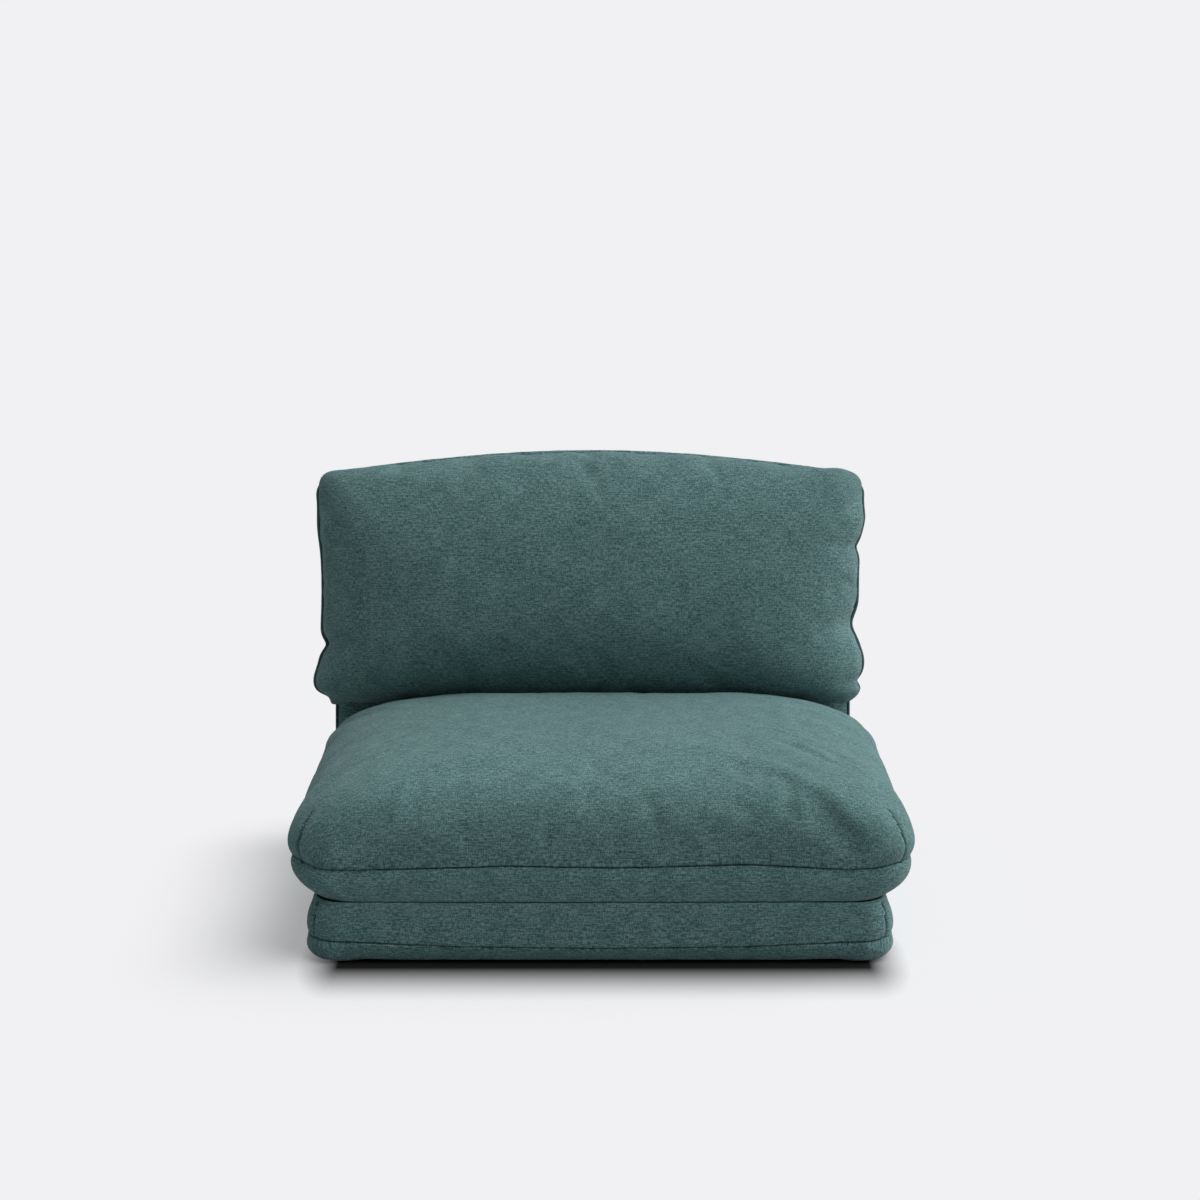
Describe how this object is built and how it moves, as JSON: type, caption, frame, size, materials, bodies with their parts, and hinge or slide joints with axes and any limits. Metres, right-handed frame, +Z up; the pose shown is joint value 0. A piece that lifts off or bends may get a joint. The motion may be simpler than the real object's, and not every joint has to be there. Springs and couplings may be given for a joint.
{
  "type": "convertible armchair",
  "caption": "Fold-out floor armchair: a plush seat on a folded foot section, with a reclining pillowed back, which opens into a single bed.",
  "frame": {"origin": "on the floor, under the middle of the seat section's depth and width", "axes": "+X across the width to the sitter's left as seen from the front, +Y towards the back, +Z up"},
  "size_m": [0.9, 0.8063, 0.6344],
  "materials": {
    "cover_cloth": "plain weave of mixed teal yarns, matt",
    "seam_cloth": "the same cloth folded over a cord",
    "base_cloth": "black woven base cloth with a fine grain",
    "wadding": "white polyester fibre",
    "foam": "cream polyurethane foam",
    "frame_steel": "black powder coat",
    "hinge_steel": "bright zinc plate",
    "pawl_steel": "blackened steel",
    "strap_web": "grey elastic webbing",
    "zip_coil": "black nylon coil and tape"
  },
  "bodies": {
    "seat_section": {"seat_top_panel": "cover_cloth", "seat_side_band": "cover_cloth", "seat_base_cloth": "base_cloth", "seat_wadding": "wadding", "seat_foam_slab": "foam", "seat_frame_bow": "frame_steel", "seat_frame_cross_tubes": "frame_steel", "seat_elastic_straps": "strap_web", "seat_frame_rivets": "hinge_steel", "seat_zip_chain": "zip_coil", "hinge_cheeks_left": "hinge_steel", "hinge_cheeks_right": "hinge_steel", "hinge_rivet_left": "hinge_steel", "hinge_rivet_right": "hinge_steel", "pawl_pin_left": "hinge_steel", "pawl_pin_right": "hinge_steel", "pawl_spring_left": "hinge_steel", "pawl_spring_right": "hinge_steel", "front_fold_cord": "seam_cloth", "rear_fold_strip": "cover_cloth"},
    "foot_section": {"foot_plush_panel": "cover_cloth", "foot_side_band": "cover_cloth", "foot_base_cloth": "base_cloth", "foot_wadding": "wadding", "foot_foam_slab": "foam", "foot_zip_chain": "zip_coil"},
    "back_section": {"back_front_panel": "cover_cloth", "back_side_band": "cover_cloth", "back_rear_cloth": "cover_cloth", "back_foam_pad": "foam", "back_frame_bow": "frame_steel", "back_frame_cross_tube": "frame_steel", "back_elastic_straps": "strap_web", "back_frame_rivets": "hinge_steel", "back_zip_chain": "zip_coil", "back_hinge_arm_left": "hinge_steel", "back_hinge_arm_right": "hinge_steel", "pillow_front_panel": "cover_cloth", "pillow_rear_panel": "cover_cloth", "pillow_filling": "wadding", "pillow_piping": "seam_cloth"},
    "left_pawl": {"pawl_left": "pawl_steel"},
    "right_pawl": {"pawl_right": "pawl_steel"},
    "seat_slider": {"seat_zip_slider": "hinge_steel"},
    "foot_slider": {"foot_zip_slider": "hinge_steel"},
    "back_slider": {"back_zip_slider": "hinge_steel"}
  },
  "joints": [
    {"name": "foot_swing", "type": "hinge", "parent": "seat_section", "child": "foot_section", "pos_m": [0, -0.33, 0.094], "axis": [-1, 0, 0], "range_deg": [0, 180]},
    {"name": "back_recline", "type": "hinge", "parent": "seat_section", "child": "back_section", "pos_m": [0, 0.372, 0.1104], "axis": [-1, 0, 0], "range_deg": [0, 80]},
    {"name": "left_pawl_lift", "type": "hinge", "parent": "seat_section", "child": "left_pawl", "pos_m": [-0.37, 0.348, 0.1304], "axis": [-1, 0, 0], "range_deg": [0, 10], "stiffness_Nm_per_rad": 0.02, "springref_deg": -11.46, "deforming": ["pawl_spring_left"]},
    {"name": "right_pawl_lift", "type": "hinge", "parent": "seat_section", "child": "right_pawl", "pos_m": [0.37, 0.348, 0.1304], "axis": [-1, 0, 0], "range_deg": [0, 10], "stiffness_Nm_per_rad": 0.02, "springref_deg": -11.46, "deforming": ["pawl_spring_right"]},
    {"name": "seat_zip_run", "type": "slide", "parent": "seat_section", "child": "seat_slider", "axis": [-1, 0, 0], "range_m": [0, 0.62]},
    {"name": "foot_zip_run", "type": "slide", "parent": "foot_section", "child": "foot_slider", "axis": [-1, 0, 0], "range_m": [0, 0.62]},
    {"name": "back_zip_run", "type": "slide", "parent": "back_section", "child": "back_slider", "axis": [-1, 0, 0], "range_m": [0, 0.62]}
  ]
}
